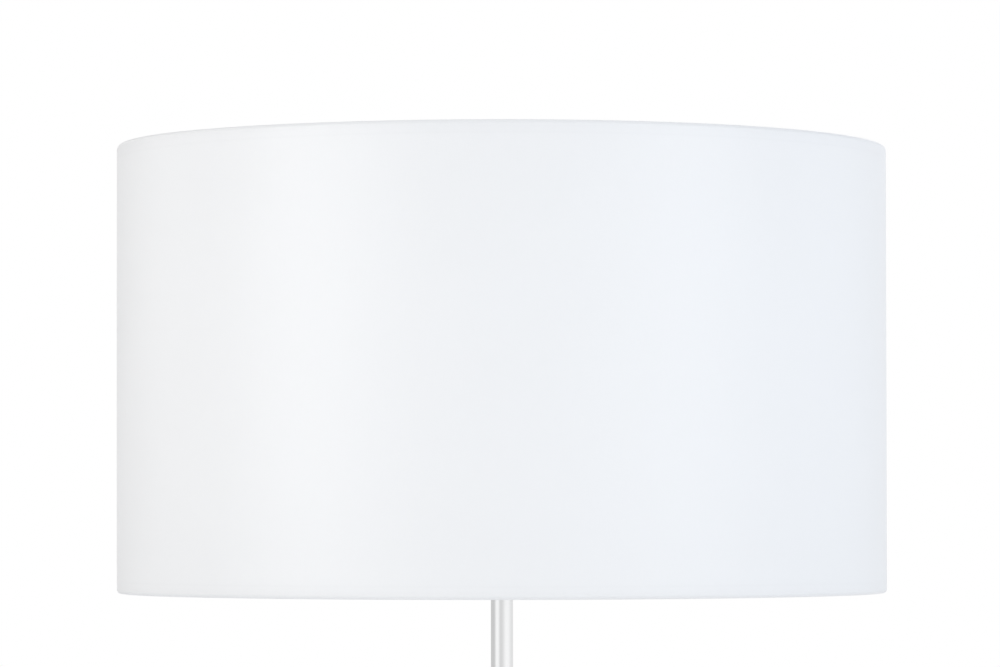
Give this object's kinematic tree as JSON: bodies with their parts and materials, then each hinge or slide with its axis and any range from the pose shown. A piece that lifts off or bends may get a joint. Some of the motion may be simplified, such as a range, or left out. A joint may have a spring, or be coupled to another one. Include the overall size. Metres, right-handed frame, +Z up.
{
  "type": "column floor lamp",
  "caption": "Floor lamp with a slim round metal column, a round weighted base and a wide white fabric drum shade over a bulb.",
  "frame": {"origin": "middle of the base's underside, on the floor", "axes": "+Z up along the column, -Y to the front where the turn knob points, +X to the right seen from the front"},
  "size_m": [0.45, 0.4505, 1.5342],
  "materials": {
    "felt": "pressed felt",
    "iron": "as cast, painted black",
    "chrome": "polished plate",
    "zinc_steel": "zinc plated",
    "black_rubber": "matt",
    "nickel": "nickel plated, satin",
    "fibre": "pressed fibre",
    "phenolic": "moulded, low gloss",
    "brass": "bright",
    "solder": "dull",
    "bulb_glass_black": "glossy",
    "bulb_plastic": "satin white",
    "globe_plastic": "frosted white",
    "board": "white solder mask",
    "phosphor": "silicone over phosphor",
    "shade_cloth": "satin-weave polyester, white",
    "shade_lining": "white styrene film",
    "white_wire": "white powder coat"
  },
  "bodies": {
    "lamp": {"base_pad": "felt", "base_weight": "iron", "base_cover": "chrome", "base_flat_washer": "zinc_steel", "base_spring_washer": "zinc_steel", "base_nut": "zinc_steel", "base_pipe": "zinc_steel", "base_collar": "chrome", "cord_grommet": "black_rubber", "lower_tube": "chrome", "lower_coupling": "zinc_steel", "middle_tube": "chrome", "upper_coupling": "zinc_steel", "upper_tube": "chrome", "top_pipe": "zinc_steel", "neck_ring": "chrome", "harp_saddle": "nickel", "tooth_washer": "zinc_steel", "harp_wire": "nickel", "harp_stud": "nickel", "socket_cap": "nickel", "socket_set_screw": "zinc_steel", "socket_shell": "nickel", "socket_fibre_sleeve": "fibre", "socket_core": "phenolic", "screw_shell": "brass", "centre_contact": "brass", "terminal_screws": "brass"},
    "switch": {"switch_shaft": "zinc_steel", "switch_knob": "phenolic"},
    "left_sleeve": {"left_sleeve": "nickel"},
    "right_sleeve": {"right_sleeve": "nickel"},
    "bulb": {"bulb_tip": "solder", "bulb_insulator": "bulb_glass_black", "bulb_cap": "nickel", "bulb_housing": "bulb_plastic", "bulb_globe": "globe_plastic", "led_board": "board", "led_chips": "phosphor"},
    "shade": {"shade_fabric": "shade_cloth", "shade_liner": "shade_lining", "shade_seam": "shade_cloth", "top_ring": "white_wire", "bottom_ring": "white_wire", "spider_arms": "white_wire", "spider_washer": "white_wire"},
    "finial": {"finial": "chrome"}
  },
  "joints": [
    {"name": "switch_turn", "type": "hinge", "parent": "lamp", "child": "switch", "pos_m": [0, 0, 1.323], "axis": [0, -1, 0], "continuous": true},
    {"name": "left_sleeve_lift", "type": "slide", "parent": "lamp", "child": "left_sleeve", "axis": [0, 0, 1], "range_m": [0, 0.013]},
    {"name": "right_sleeve_lift", "type": "slide", "parent": "lamp", "child": "right_sleeve", "axis": [0, 0, 1], "range_m": [0, 0.013]},
    {"name": "bulb_turn", "type": "hinge", "parent": "lamp", "child": "bulb", "pos_m": [0, 0, 1.34], "axis": [0, 0, 1], "range_deg": [0, 1800]},
    {"name": "shade_swivel", "type": "hinge", "parent": "lamp", "child": "shade", "pos_m": [0, 0, 1.509], "axis": [0, 0, 1], "continuous": true},
    {"name": "finial_turn", "type": "hinge", "parent": "lamp", "child": "finial", "pos_m": [0, 0, 1.509], "axis": [0, 0, 1], "range_deg": [0, 2160]}
  ]
}
